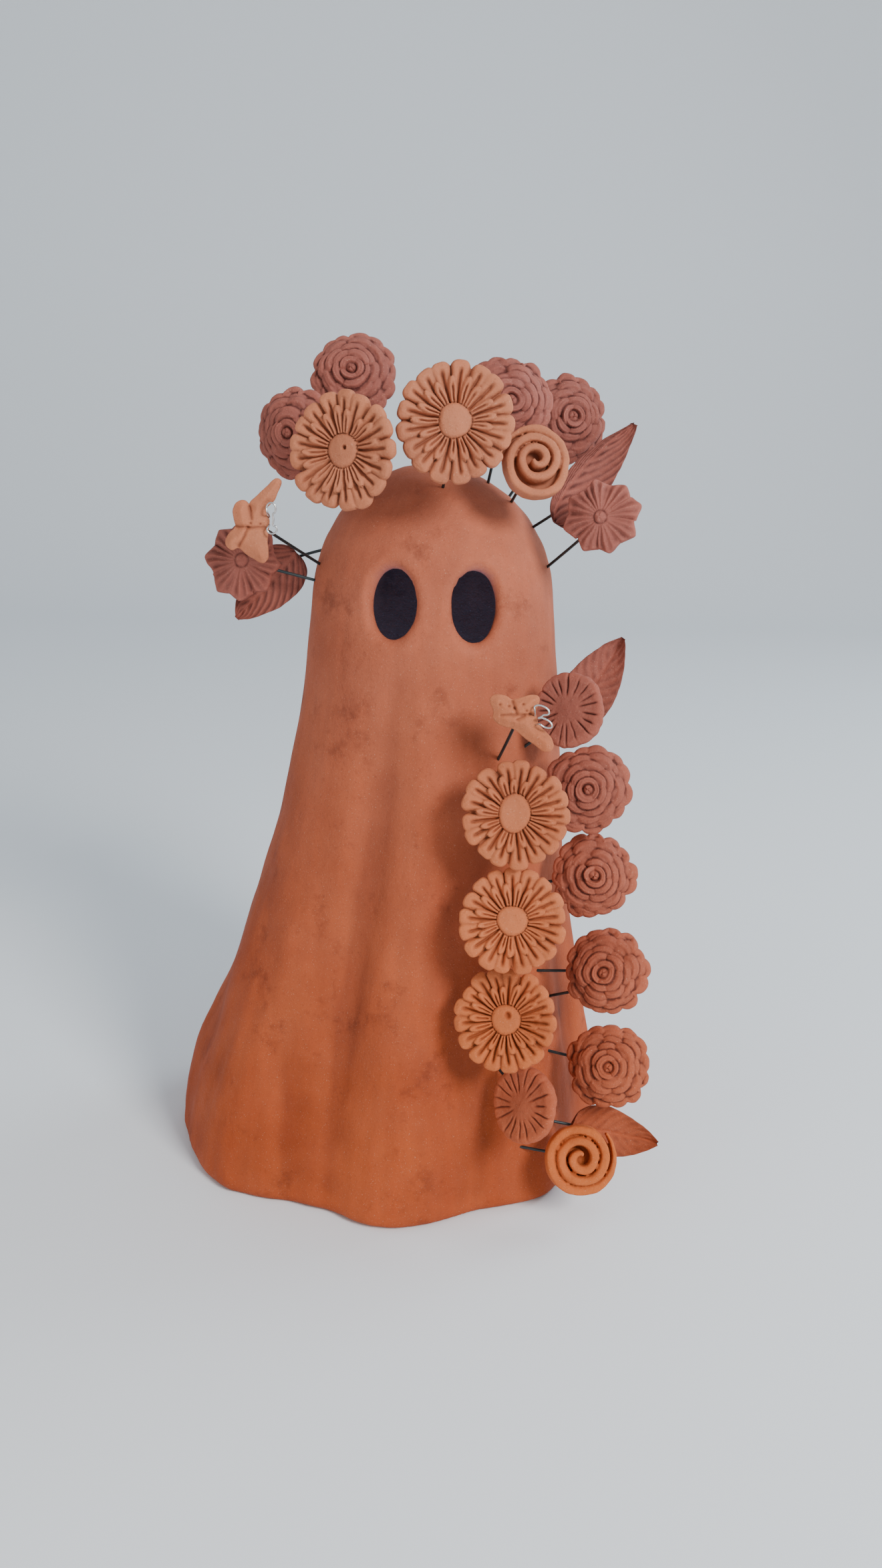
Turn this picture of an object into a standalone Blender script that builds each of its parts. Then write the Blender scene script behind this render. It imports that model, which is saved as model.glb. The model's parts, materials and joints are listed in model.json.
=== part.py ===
"""A hollow clay ghost, a draped sheet with two eye holes, decorated in the tree-of-life manner with clay
flowers, leaves and butterflies. Each ornament sits on a springy iron wire that stands in a pierced hole of
the ghost's wall, and nods a little about that hole.

Driving sizes below are in millimetres, and MM turns them into Blender's metres. +Z is up, the ghost's
face looks along -Y and its right-hand cascade of flowers hangs on the +X side. A bearing is the angle
round the ghost: 0 is the front, 90 the +X side and -90 the -X side.
"""

import math
from collections import namedtuple

import bmesh
import bpy
import numpy as np
from mathutils import Matrix, Vector

MM = 0.001

# Where the ghost's upright axis stands, so that the whole object's box is centred on the origin.
AXIS_AT = (12.2, 11.3)

# The draped sheet: how far it reaches from its axis at each height: left, right, front and back.
DRAPE = (
    (0.0, (118.0, 70.5, 85.0, 71.0)),
    (30.0, (112.0, 68.5, 81.0, 66.0)),
    (70.0, (96.0, 62.0, 73.0, 60.0)),
    (110.0, (81.0, 56.5, 66.0, 55.0)),
    (150.0, (68.5, 52.0, 59.0, 51.0)),
    (200.0, (59.0, 48.5, 53.0, 48.0)),
    (240.0, (54.5, 45.0, 48.5, 45.5)),
)
DOME_START = 240.0
HEAD_TOP = 294.5
DOME_CENTRE = (-7.0, -1.0)
WALL = 7.0
HEM_ROUND = 2.5

# Hanging folds: bearing at the hem and at the fold's top, swell at the hem and along the belly (negative
# for a furrow), half-width in degrees, top height.
FOLDS = (
    (-53.0, -74.0, 8.0, 4.5, 13.0, 210.0),
    (-78.0, -88.0, -3.0, -3.0, 9.0, 130.0),
    (-38.0, -19.0, -2.4, -9.0, 9.5, 235.0),
    (-12.0, -4.0, 7.0, 6.5, 12.0, 215.0),
    (15.0, 10.0, -4.0, -5.0, 9.0, 210.0),
    (41.0, 34.0, 3.0, 2.0, 10.0, 150.0),
    (64.0, 60.0, -4.0, -3.0, 8.0, 150.0),
    (82.0, 82.0, 2.0, 2.0, 8.0, 120.0),
    (112.0, 108.0, -4.0, -5.0, 11.0, 180.0),
    (136.0, 142.0, 5.0, 4.0, 11.0, 180.0),
    (160.0, 166.0, -5.0, -5.0, 10.0, 200.0),
    (184.0, 182.0, 5.0, 5.0, 11.0, 190.0),
    (212.0, 206.0, -5.0, -5.0, 11.0, 200.0),
    (240.0, 236.0, 5.0, 4.0, 12.0, 180.0),
    (262.0, 262.0, -3.0, -2.0, 8.0, 120.0),
)

SEGMENTS = 48
DRAPE_RINGS = 13
DOME_RINGS = 6
INNER_DRAPE_RINGS = 8
INNER_DOME_RINGS = 4

EYE_WIDTH = 19.4
EYE_HEIGHT = 28.0
EYE_LEVEL = 244.5
EYE_BEARINGS = {"left": -25.0, "right": 15.0}

WIRE_RADIUS = 0.6
HOLE_RADIUS = 1.25
HOLE_DEPTH = 6.0
SOCKET_RADIUS = 1.1
SOCKET_DEPTH = 3.2
BUTTERFLY_SOCKET_DEPTH = 2.4
LEAF_SOCKET_DEPTH = 6.0
WIRE_END_GAP = 0.5
STEM_STEPS = 5
WIRE_LEAD = 2.5
STEM_PULL = 0.3

ANTENNA_RADIUS = 0.4
ANTENNA_SOCKET_RADIUS = 0.75
ANTENNA_LIFT = 3.9
LOOP_STEPS = 8
LOOP_OPENING = 42.0

# Each butterfly's two wire loops, seen from its front with x to the right: middle, length, width and tilt.
ANTENNA_LOOPS = {
    "left_butterfly": (((7.7, 4.4), 3.4, 4.4, 0.0), ((8.0, -3.0), 3.6, 3.2, 0.0)),
    "cascade_butterfly": (((8.4, 3.1), 5.8, 3.0, -22.0), ((9.6, -1.5), 6.0, 2.8, -26.0)),
}

TERRACOTTA = (0.40, 0.14, 0.075, 1.0)
LIGHT_CLAY = (0.47, 0.17, 0.085, 1.0)
RED_CLAY = (0.32, 0.112, 0.08, 1.0)
FIRED_IRON = (0.045, 0.05, 0.055, 1.0)
BRIGHT_WIRE = (0.75, 0.75, 0.74, 1.0)

# One ornament: its kind and size, the middle of its back, where it faces (bearing and rise in degrees),
# its turn about that direction, the wall hole of its wire (bearing and height), and how far the wire's
# end leans from the facing direction towards the wire's own run.
Ornament = namedtuple("Ornament", "name kind size place face turn hole lean")

ORNAMENTS = (
    Ornament("crown_daisy_left", "daisy", 43.5, (-35.9, -58.0, 301.5), (-24, 6), 4, (-60, 282), 0.3),
    Ornament("crown_daisy_front", "daisy", 44.5, (2.2, -53.0, 312.0), (4, 8), 0, (5, 288), 0.3),
    Ornament("crown_pompon_top", "pompon", 37.5, (-36.8, 4.0, 325.5), (-6, 20), 10, (-100, 287), 0.8),
    Ornament("crown_pompon_left", "pompon", 37.0, (-55.0, -20.0, 305.5), (-22, 4), 50, (-78, 277), 0.8),
    Ornament("crown_pompon_right", "pompon", 37.5, (21.4, -20.0, 318.0), (8, 10), 85, (75, 288), 0.8),
    Ornament("crown_pompon_far_right", "pompon", 37.0, (45.0, 3.0, 312.0), (14, 8), 20, (100, 282), 0.8),
    Ornament("crown_spiral_rose", "spiral", 27.5, (31.2, -39.5, 297.0), (10, 20), 200, (78, 281), 0.8),
    Ornament("crown_leaf", "leaf", 45.0, (43.0, -17.0, 275.5), (15, 0), 52, (82, 271), 0.6),
    Ornament("crown_bellflower", "bellflower", 30.5, (59.6, -36.0, 277.5), (-18, 14), 15, (76, 255), 1.4),
    Ornament("left_butterfly", "butterfly", 30.0, (-72.0, -47.0, 275.5), (0, 5), 0, (-79, 254.5), 1.3),
    Ornament("left_bellflower", "bellflower", 32.5, (-80.5, -12.0, 255.5), (0, 12), 0, (-80, 248), 1.4),
    Ornament("left_leaf", "leaf", 36.5, (-61.0, 5.0, 258.0), (12, 8), 226, (-88, 261), 0.6),
    Ornament("cascade_leaf_upper", "leaf", 40.5, (50.0, -28.0, 194.5), (-5, 12), 60, (62, 186), 0.6),
    Ornament("cascade_button_upper", "button", 29.5, (49.6, -50.0, 206.0), (-30, 18), 0, (38, 187), 0.8),
    Ornament("cascade_butterfly", "butterfly", 26.0, (28.0, -70.0, 208.0), (-3, 14), -12, (25, 184), 1.2),
    Ornament("cascade_daisy_1", "daisy", 42.0, (28.0, -73.0, 171.5), (-3, 17), 0, (30, 165), 0.3),
    Ornament("cascade_daisy_2", "daisy", 42.0, (28.0, -78.0, 130.5), (-3, 20), 7, (26, 124), 0.3),
    Ornament("cascade_daisy_3", "daisy", 41.5, (27.6, -81.0, 90.5), (-14, 23), 3, (20, 86), 0.3),
    Ornament("cascade_pompon_1", "pompon", 38.0, (57.3, -44.0, 173.0), (-4, 16), 0, (46, 170), 0.9),
    Ornament("cascade_pompon_2", "pompon", 37.0, (62.4, -43.0, 136.2), (-6, 20), 40, (42, 132), 0.9),
    Ornament("cascade_pompon_3", "pompon", 37.0, (68.7, -56.0, 100.5), (-15, 20), 65, (39, 97), 1.2),
    Ornament("cascade_pompon_4", "pompon", 37.5, (71.3, -59.0, 59.5), (-10, 25), 15, (41, 63), 1.2),
    Ornament("cascade_button_lower", "button", 31.0, (37.5, -83.0, 55.0), (-46, 18), 0, (20, 63), 0.5),
    Ornament("cascade_leaf_lower", "leaf", 36.5, (55.5, -60.0, 32.5), (8, 25), -14, (37, 35), 0.6),
    Ornament("cascade_spiral_rose", "spiral", 30.5, (58.8, -74.0, 26.0), (2, 28), 60, (26, 27), 0.9),
)

# The second, kinked wire of one heavy pompon: its own wall hole, and where it meets the flower's back.
BRACE_OF = "cascade_pompon_3"
BRACE_HOLE = (46, 83)
BRACE_OFFSET = (-4.0, -7.0)


def clear_scene():
    for old in list(bpy.data.objects):
        bpy.data.objects.remove(old, do_unlink=True)


def material(name, colour, roughness, metallic=0.0):
    made = bpy.data.materials.new(name)
    made.use_nodes = True
    shader = made.node_tree.nodes["Principled BSDF"]
    shader.inputs["Base Color"].default_value = colour
    shader.inputs["Roughness"].default_value = roughness
    shader.inputs["Metallic"].default_value = metallic
    return made


# ---------------------------------------------------------------- the ghost's surface

def reach_at(height):
    """Left, right, front and back reach at a height, on a smooth curve through DRAPE."""
    heights = [row[0] for row in DRAPE]
    reaches = np.array([row[1] for row in DRAPE])
    slopes = np.gradient(reaches, heights, axis=0)
    i = int(np.clip(np.searchsorted(heights, height) - 1, 0, len(heights) - 2))
    span = heights[i + 1] - heights[i]
    t = (height - heights[i]) / span
    return (
        (2 * t**3 - 3 * t**2 + 1) * reaches[i]
        + (t**3 - 2 * t**2 + t) * span * slopes[i]
        + (3 * t**2 - 2 * t**3) * reaches[i + 1]
        + (t**3 - t**2) * span * slopes[i + 1]
    )


def fold_swell(bearing, height):
    """How far the hanging folds push the surface out at a bearing and height."""
    swell = 0.0
    for at_hem, at_top, hem, belly, width, top in FOLDS:
        rise = min(1.0, height / top)
        centre = at_hem + (at_top - at_hem) * rise
        away = (bearing - centre + 180.0) % 360.0 - 180.0
        amount = hem * (1.0 - rise) ** 2 + belly * 2.0 * rise * (1.0 - rise)
        swell += amount * math.exp(-((away / width) ** 2))
    return swell


def drape_point(bearing, height, inset):
    """A point of the hanging sheet, inset towards the axis."""
    left, right, front, back = reach_at(height)
    side = math.sin(math.radians(bearing))
    ahead = math.cos(math.radians(bearing))
    across = right if side > 0 else left
    along = front if ahead > 0 else back
    radius = 1.0 / math.hypot(side / across, ahead / along)
    radius += fold_swell(bearing, height) - inset
    return Vector((side * radius, -ahead * radius, height))


def dome_point(bearing, rise, inset):
    """A point of the head's dome; rise runs from 0 at its foot to a right angle at the top."""
    foot = drape_point(bearing, DOME_START, inset)
    centre = Vector((DOME_CENTRE[0], DOME_CENTRE[1], DOME_START))
    flat = centre + math.cos(rise) * (foot - centre)
    return flat + Vector((0, 0, (HEAD_TOP - DOME_START - inset) * math.sin(rise)))


def wall_point(bearing, height):
    """The outer surface at a bearing and height."""
    if height <= DOME_START:
        return drape_point(bearing, height, 0.0)
    rise = math.asin((height - DOME_START) / (HEAD_TOP - DOME_START))
    return dome_point(bearing, rise, 0.0)


def wall_normal(bearing, height):
    """The outward normal of the outer surface."""
    step = 0.5
    around = wall_point(bearing + step, height) - wall_point(bearing - step, height)
    upward = wall_point(bearing, height + step) - wall_point(bearing, height - step)
    return around.cross(upward).normalized()


# ---------------------------------------------------------------- mesh helpers

def new_object(name, bm, looks):
    """Makes one object from a bmesh in millimetres, with its faces pointing out."""
    bmesh.ops.recalc_face_normals(bm, faces=bm.faces)
    bmesh.ops.scale(bm, vec=(MM, MM, MM), verts=bm.verts)
    mesh = bpy.data.meshes.new(name)
    bm.to_mesh(mesh)
    bm.free()
    mesh.shade_smooth()
    mesh.set_sharp_from_angle(angle=math.radians(35))
    made = bpy.data.objects.new(name, mesh)
    bpy.context.collection.objects.link(made)
    if looks:
        mesh.materials.append(looks)
    return made


def ring_faces(bm, lower, upper):
    for i in range(len(lower)):
        j = (i + 1) % len(lower)
        bm.faces.new((lower[i], lower[j], upper[j], upper[i]))


def fan_faces(bm, ring, tip):
    for i in range(len(ring)):
        bm.faces.new((ring[i], ring[(i + 1) % len(ring)], tip))


def lofted(rings, first_tip, last_tip):
    """A closed bmesh through rings of points, with a point at each end."""
    bm = bmesh.new()
    made = [[bm.verts.new(p) for p in ring] for ring in rings]
    for lower, upper in zip(made, made[1:]):
        ring_faces(bm, lower, upper)
    fan_faces(bm, made[0], bm.verts.new(first_tip))
    fan_faces(bm, made[-1], bm.verts.new(last_tip))
    return bm


def add_prism(bm, start, end, half_width, half_height, sides, up=Vector((0, 0, 1))):
    """Adds a closed oval prism to a cutter, from start to end."""
    run = (end - start).normalized()
    if abs(run.dot(up)) > 0.95:
        up = Vector((1, 0, 0))
    right = up.cross(run).normalized()
    lift = run.cross(right)
    ends = []
    for middle in (start, end):
        ring = []
        for i in range(sides):
            angle = 2 * math.pi * i / sides
            offset = right * half_width * math.cos(angle) + lift * half_height * math.sin(angle)
            ring.append(bm.verts.new(middle + offset))
        ends.append(ring)
    ring_faces(bm, ends[0], ends[1])
    bm.faces.new(list(reversed(ends[0])))
    bm.faces.new(ends[1])


def as_cutter(name, bm):
    cutter = new_object(name, bm, None)
    cutter.hide_render = True
    cutter.display_type = "WIRE"
    return cutter


def combine(target, other, operation):
    modifier = target.modifiers.new(operation.lower(), "BOOLEAN")
    modifier.operation = operation
    modifier.solver = "EXACT"
    modifier.object = other


# ---------------------------------------------------------------- the ghost's body

def shell_rings(inset, drape_rings, dome_rings):
    """Rings of one wall surface from the hem upwards, short of the dome's top point."""
    bearings = [360.0 * i / SEGMENTS for i in range(SEGMENTS)]
    rings = []
    for k in range(drape_rings + 1):
        height = DOME_START * k / drape_rings
        rings.append([drape_point(b, height, inset) for b in bearings])
    for k in range(1, dome_rings + 1):
        rise = math.radians(90.0) * k / (dome_rings + 1)
        rings.append([dome_point(b, rise, inset) for b in bearings])
    return rings


def ghost_body(looks, holes):
    """The pressed clay shell, open below, with its eyes cut through and a pierced hole for each wire.
    Each hole is given by its place on the wall and by the point its wire runs to."""
    outer = shell_rings(0.0, DRAPE_RINGS, DOME_RINGS)
    bearings = [360.0 * i / SEGMENTS for i in range(SEGMENTS)]
    hem_edge = [drape_point(b, 0.0, HEM_ROUND) for b in bearings]
    outer[0] = [drape_point(b, HEM_ROUND, 0.0) for b in bearings]
    inner = shell_rings(WALL, INNER_DRAPE_RINGS, INNER_DOME_RINGS)
    rings = list(reversed(inner)) + [hem_edge] + outer
    top = Vector((DOME_CENTRE[0], DOME_CENTRE[1], HEAD_TOP))
    body = new_object("ghost_body", lofted(rings, top - Vector((0, 0, WALL)), top), looks)

    cuts = bmesh.new()
    for bearing in EYE_BEARINGS.values():
        face = wall_point(bearing, EYE_LEVEL)
        outward = wall_normal(bearing, EYE_LEVEL)
        outward.z = 0.0
        outward.normalize()
        start = face + outward * 2 * WALL
        end = face - outward * 2 * WALL
        add_prism(cuts, start, end, EYE_WIDTH / 2, EYE_HEIGHT / 2, 24)
    for hole, entry in holes:
        mouth = wall_point(*hole)
        outward = hole_axis(hole, entry)
        add_prism(cuts, mouth + outward * 2.5, mouth - outward * HOLE_DEPTH, HOLE_RADIUS, HOLE_RADIUS, 6)
    cutter = as_cutter("ghost_cutter", cuts)
    combine(body, cutter, "DIFFERENCE")
    return [body, cutter]


# ---------------------------------------------------------------- ornament shapes
# Each is made with its back at z = 0, facing +Z, y up its face.

def turned_flower(profile, sides, lobes, pointed=False):
    """A turned solid whose rings are scalloped: each profile row is radius, height and lobe depth."""
    rings = []
    for radius, height, depth in profile:
        ring = []
        for i in range(sides):
            angle = 2 * math.pi * i / sides
            wave = abs(math.sin(lobes * angle / 2))
            if pointed:
                wave = 1.0 - wave
            ring_radius = radius * (1.0 - depth * (1.0 - wave))
            ring.append(Vector((ring_radius * math.cos(angle), ring_radius * math.sin(angle), height)))
        rings.append(ring)
    back = Vector((0, 0, profile[0][1]))
    front = Vector((0, 0, profile[-1][1]))
    return lofted(rings, back, front)


def daisy(size):
    """A flat daisy with spoon petals round a button, a little dished."""
    r = size / 2
    profile = (
        (0.45 * r, 0.0, 0.0),
        (0.90 * r, 2.4, 0.06),
        (1.00 * r, 4.6, 0.09),
        (0.93 * r, 7.0, 0.09),
        (0.34 * r, 4.4, 0.0),
        (0.27 * r, 5.6, 0.0),
    )
    return turned_flower(profile, 36, 18)


def pompon(size):
    """A domed marigold of overlapping petals."""
    r = size / 2
    profile = (
        (0.45 * r, 0.0, 0.0),
        (0.90 * r, 3.4, 0.05),
        (1.00 * r, 6.6, 0.07),
        (0.84 * r, 11.0, 0.05),
        (0.52 * r, 14.4, 0.04),
        (0.20 * r, 16.2, 0.0),
    )
    return turned_flower(profile, 24, 12)


def bellflower(size):
    """A shallow ruffled trumpet whose ribs run out to eight points."""
    r = size / 2
    profile = (
        (0.20 * r, 0.0, 0.0),
        (0.55 * r, 1.0, 0.04),
        (0.96 * r, 2.2, 0.16),
        (1.00 * r, 4.4, 0.16),
        (0.55 * r, 6.6, 0.08),
        (0.16 * r, 8.4, 0.0),
    )
    return turned_flower(profile, 32, 8, pointed=True)


def button(size):
    """A shallow round flower like a grooved button."""
    r = size / 2
    profile = (
        (0.40 * r, 0.0, 0.0),
        (0.90 * r, 1.8, 0.02),
        (1.00 * r, 4.2, 0.02),
        (0.92 * r, 5.6, 0.02),
        (0.30 * r, 5.2, 0.0),
        (0.16 * r, 6.4, 0.0),
    )
    return turned_flower(profile, 28, 14)


def spiral_ribbon(size):
    """The rolled strip of a spiral rose, as a swept bar with a gap between its turns."""
    scale = size / 30.0
    strip = 3.6 * scale
    pitch = 4.5 * scale
    first = 2.3 * scale
    last = size / 2 - strip / 2
    turns = (last - first) / pitch
    steps = 26
    low, high = 3.0, 10.6
    bm = bmesh.new()
    bars = []
    for k in range(steps + 1):
        angle = 2 * math.pi * turns * k / steps
        middle = first + pitch * angle / (2 * math.pi)
        bar = []
        for radius, height in (
            (middle - strip / 2, low),
            (middle + strip / 2, low),
            (middle + strip / 2, high - 1.0),
            (middle, high),
            (middle - strip / 2, high - 1.0),
        ):
            bar.append(bm.verts.new((radius * math.cos(angle), radius * math.sin(angle), height)))
        bars.append(bar)
    for one, two in zip(bars, bars[1:]):
        ring_faces(bm, one, two)
    bm.faces.new(list(reversed(bars[0])))
    bm.faces.new(bars[-1])
    return bm


def spiral_base(size):
    """The round foot that the spiral's turns are pressed into."""
    r = size / 2
    profile = ((0.55 * r, 0.0, 0.0), (0.93 * r, 1.6, 0.0), (0.95 * r, 3.8, 0.0), (0.5 * r, 4.0, 0.0))
    return turned_flower(profile, 20, 10)


def leaf(size):
    """A pointed, cupped leaf lying along +X from its base at the origin."""
    width = 0.60 * size
    thick = 3.4
    along = 9
    across = 4
    bm = bmesh.new()
    top, bottom = [], []
    for i in range(along + 1):
        t = 0.03 + 0.96 * i / along
        half = 0.5 * width * (math.sin(math.pi * t**0.72)) ** 0.8
        row_top, row_bottom = [], []
        for j in range(across + 1):
            s = 2.0 * j / across - 1.0
            cup = 0.16 * width * s * s + 0.05 * size * (2 * t - 1) ** 2
            body = thick * (1.0 - 0.35 * abs(s)) * (1.0 - 0.45 * t)
            row_top.append(bm.verts.new((t * size, s * half, cup + body / 2)))
            row_bottom.append(bm.verts.new((t * size, s * half, cup - body / 2)))
        top.append(row_top)
        bottom.append(row_bottom)
    for i in range(along):
        for j in range(across):
            bm.faces.new((top[i][j], top[i + 1][j], top[i + 1][j + 1], top[i][j + 1]))
            bm.faces.new((bottom[i][j], bottom[i][j + 1], bottom[i + 1][j + 1], bottom[i + 1][j]))
    for j in range(across):
        bm.faces.new((top[0][j], top[0][j + 1], bottom[0][j + 1], bottom[0][j]))
        bm.faces.new((top[-1][j], bottom[-1][j], bottom[-1][j + 1], top[-1][j + 1]))
    for i in range(along):
        bm.faces.new((top[i][0], bottom[i][0], bottom[i + 1][0], top[i + 1][0]))
        bm.faces.new((top[i][-1], top[i + 1][-1], bottom[i + 1][-1], bottom[i][-1]))
    return bm


# The butterfly's outline for one side, head along +X, as shares of its wing span.
WING_OUTLINE = (
    (0.19, 0.045),
    (0.17, 0.095),
    (0.12, 0.12),
    (0.26, 0.34),
    (0.37, 0.47),
    (0.33, 0.50),
    (0.12, 0.40),
    (-0.02, 0.16),
    (-0.10, 0.27),
    (-0.23, 0.28),
    (-0.31, 0.19),
    (-0.28, 0.08),
    (-0.20, 0.04),
)
BUTTERFLY_THICK = 3.6
WING_RISE = 0.22


def butterfly(size):
    """A flat moulded butterfly with slightly raised wings."""
    bm = bmesh.new()
    outline = [(x * size, y * size) for x, y in WING_OUTLINE]
    outline += [(x, -y) for x, y in reversed(outline)]
    layers = []
    for height in (0.0, BUTTERFLY_THICK):
        layers.append([bm.verts.new((x, y, height)) for x, y in outline])
    ring_faces(bm, layers[0], layers[1])
    caps = [bm.faces.new(list(reversed(layers[0]))), bm.faces.new(layers[1])]
    bmesh.ops.triangulate(bm, faces=caps)
    for vert in bm.verts:
        vert.co.z += WING_RISE * abs(vert.co.y)
    return bm


SHAPES = {
    "daisy": daisy,
    "pompon": pompon,
    "bellflower": bellflower,
    "button": button,
    "spiral": spiral_ribbon,
    "leaf": leaf,
    "butterfly": butterfly,
}


# ---------------------------------------------------------------- placing and joining

def facing(face):
    """The unit vector of a bearing and a rise in degrees."""
    bearing, rise = (math.radians(a) for a in face)
    return Vector(
        (math.sin(bearing) * math.cos(rise), -math.cos(bearing) * math.cos(rise), math.sin(rise))
    )


def frame_of(item):
    """The ornament's own frame in the ghost's: x to its right, y up its face, z where it faces."""
    forward = facing(item.face)
    right = Vector((0, 0, 1)).cross(forward).normalized()
    upward = forward.cross(right)
    axes = Matrix((right, upward, forward)).transposed().to_4x4()
    spin = Matrix.Rotation(math.radians(item.turn), 4, "Z")
    return Matrix.Translation(Vector(item.place)) @ axes @ spin


def wire_entry(item, frame):
    """Where the wire meets the ornament and the direction in which it goes in, in the ghost's frame."""
    axes = frame.to_3x3()
    run = (frame.translation - wall_point(*item.hole)).normalized()
    if item.kind == "leaf":
        flat_run = run - run.dot(axes.col[2]) * axes.col[2]
        return frame @ Vector((0.03 * item.size, 0.0, 0.0)), (axes.col[0] + item.lean * flat_run).normalized()
    return frame.translation.copy(), (axes.col[2] + item.lean * run).normalized()


def brace_entry(item, frame):
    """Where the second wire meets its ornament's back, and the direction in which it goes in."""
    side, up = BRACE_OFFSET
    upright = frame @ Matrix.Rotation(-math.radians(item.turn), 4, "Z")
    start = upright @ Vector((side, up, 0.3))
    run = (start - wall_point(*BRACE_HOLE)).normalized()
    return start, (frame.to_3x3().col[2] + item.lean * run).normalized()


def socket_depth(item):
    return {"leaf": LEAF_SOCKET_DEPTH, "butterfly": BUTTERFLY_SOCKET_DEPTH}.get(item.kind, SOCKET_DEPTH)


def hole_axis(hole, entry):
    """The direction a hole is pierced in: halfway between the wall's normal and the wire's own run."""
    run = (entry - wall_point(*hole)).normalized()
    return (wall_normal(*hole) + run).normalized()


def stem_route(hole, entry, into, depth):
    """The wire's points: from inside the wall's hole, straight out, round one bend, to the socket."""
    mouth = wall_point(*hole)
    outward = hole_axis(hole, entry)
    leave = mouth + outward * WIRE_LEAD
    arrive = entry - into * WIRE_LEAD
    pull = STEM_PULL * (arrive - leave).length
    bend_one = leave + outward * pull
    bend_two = arrive - into * pull
    points = [mouth - outward * (HOLE_DEPTH - WIRE_END_GAP)]
    for k in range(STEM_STEPS + 1):
        t = k / STEM_STEPS
        points.append(
            (1 - t) ** 3 * leave
            + 3 * t * (1 - t) ** 2 * bend_one
            + 3 * t * t * (1 - t) * bend_two
            + t**3 * arrive
        )
    points.append(entry + into * (depth - WIRE_END_GAP))
    return points


def wire(name, points, radius, looks, sides_level=1):
    """A round wire along points, closed at both ends."""
    curve = bpy.data.curves.new(name, "CURVE")
    curve.dimensions = "3D"
    curve.bevel_depth = radius * MM
    curve.bevel_resolution = sides_level
    curve.use_fill_caps = True
    spline = curve.splines.new("POLY")
    spline.points.add(len(points) - 1)
    for slot, point in zip(spline.points, points):
        slot.co = (point.x * MM, point.y * MM, point.z * MM, 1.0)
    made = bpy.data.objects.new(name, curve)
    bpy.context.collection.objects.link(made)
    curve.materials.append(looks)
    return made


def antenna_loop(middle, length, width, tilt, brow):
    """An oval loop of wire, walked clockwise, that stays open towards the butterfly's brow."""
    middle = Vector((*middle, ANTENNA_LIFT))
    lean = math.radians(tilt)
    towards = brow - middle
    opening = math.atan2(towards.y, towards.x) - lean
    gap = math.radians(LOOP_OPENING)
    points = []
    for k in range(LOOP_STEPS + 1):
        angle = opening - gap - (2 * math.pi - 2 * gap) * k / LOOP_STEPS
        offset = Vector((length / 2 * math.cos(angle), width / 2 * math.sin(angle), 0.0))
        points.append(middle + Matrix.Rotation(lean, 3, "Z") @ offset)
    return points


def antenna_route(item):
    """One thin wire bent into two loops: both ends in the head, a turn between them in front of it."""
    spin = Matrix.Rotation(math.radians(item.turn), 3, "Z")
    root = 0.12 * item.size
    brow = 0.21 * item.size
    side = 1.3
    upper, lower = (antenna_loop(*loop, spin @ Vector((brow, 0, 0))) for loop in ANTENNA_LOOPS[item.name])
    turn = (upper[-1] + lower[0]) / 2 + Vector((0.2, 0.0, 0.0))
    start = [spin @ Vector((root, side, 0.0)), spin @ Vector((brow, side, 0.0))]
    end = [spin @ Vector((brow, -side, 0.0)), spin @ Vector((root, -side, 0.0))]
    start.append((2 * start[-1] + upper[0]) / 3 + Vector((0.3, 0.0, 0.0)))
    end.insert(0, (2 * end[0] + lower[-1]) / 3 + Vector((0.3, 0.0, 0.0)))
    return start + upper + [turn] + lower + end


def placed(item_object, frame, pivot, pivot_at):
    """Hangs an object on its joint's empty, in the ghost's frame."""
    shift = Matrix.Translation(frame.translation * MM - pivot_at * MM)
    item_object.parent = pivot
    item_object.matrix_local = shift @ frame.to_3x3().to_4x4()


def build_ornament(item, root, clay, iron, bright):
    frame = frame_of(item)
    entry, into = wire_entry(item, frame)
    mouth = wall_point(*item.hole)
    pivot = bpy.data.objects.new("pivot_" + item.name, None)
    bpy.context.collection.objects.link(pivot)
    pivot.parent = root
    pivot.location = mouth * MM

    shape = new_object(item.name, SHAPES[item.kind](item.size), clay[item.kind])
    placed(shape, frame, pivot, mouth)
    if item.kind == "spiral":
        foot = as_cutter(item.name + "_foot_guide", spiral_base(item.size))
        placed(foot, frame, pivot, mouth)
        combine(shape, foot, "UNION")

    still = Matrix.Identity(4)
    cuts = bmesh.new()
    depth = socket_depth(item)
    add_prism(cuts, entry - into * 2.5, entry + into * depth, SOCKET_RADIUS, SOCKET_RADIUS, 6)
    routes = {item.name + "_stem": stem_route(item.hole, entry, into, depth)}
    if item.name == BRACE_OF:
        second, lean_in = brace_entry(item, frame)
        add_prism(cuts, second - lean_in * 2.5, second + lean_in * depth, SOCKET_RADIUS, SOCKET_RADIUS, 6)
        routes[item.name + "_brace"] = stem_route(BRACE_HOLE, second, lean_in, depth)
    if item.kind == "butterfly":
        upright = frame @ Matrix.Rotation(-math.radians(item.turn), 4, "Z")
        middle = BUTTERFLY_THICK / 2
        route = [upright @ (p + Vector((0, 0, middle))) for p in antenna_route(item)]
        for root_end, next_point in ((route[0], route[1]), (route[-1], route[-2])):
            run = (next_point - root_end).normalized()
            add_prism(cuts, root_end - run * 0.4, next_point + run * 2.0,
                      ANTENNA_SOCKET_RADIUS, ANTENNA_SOCKET_RADIUS, 6)
        feelers = wire(item.name + "_antennae", route, ANTENNA_RADIUS, bright)
        placed(feelers, still, pivot, mouth)
    socket = as_cutter(item.name + "_socket_cutter", cuts)
    placed(socket, still, pivot, mouth)
    combine(shape, socket, "DIFFERENCE")
    for name, route in routes.items():
        stem = wire(name, route, WIRE_RADIUS, iron)
        placed(stem, still, pivot, mouth)


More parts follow.
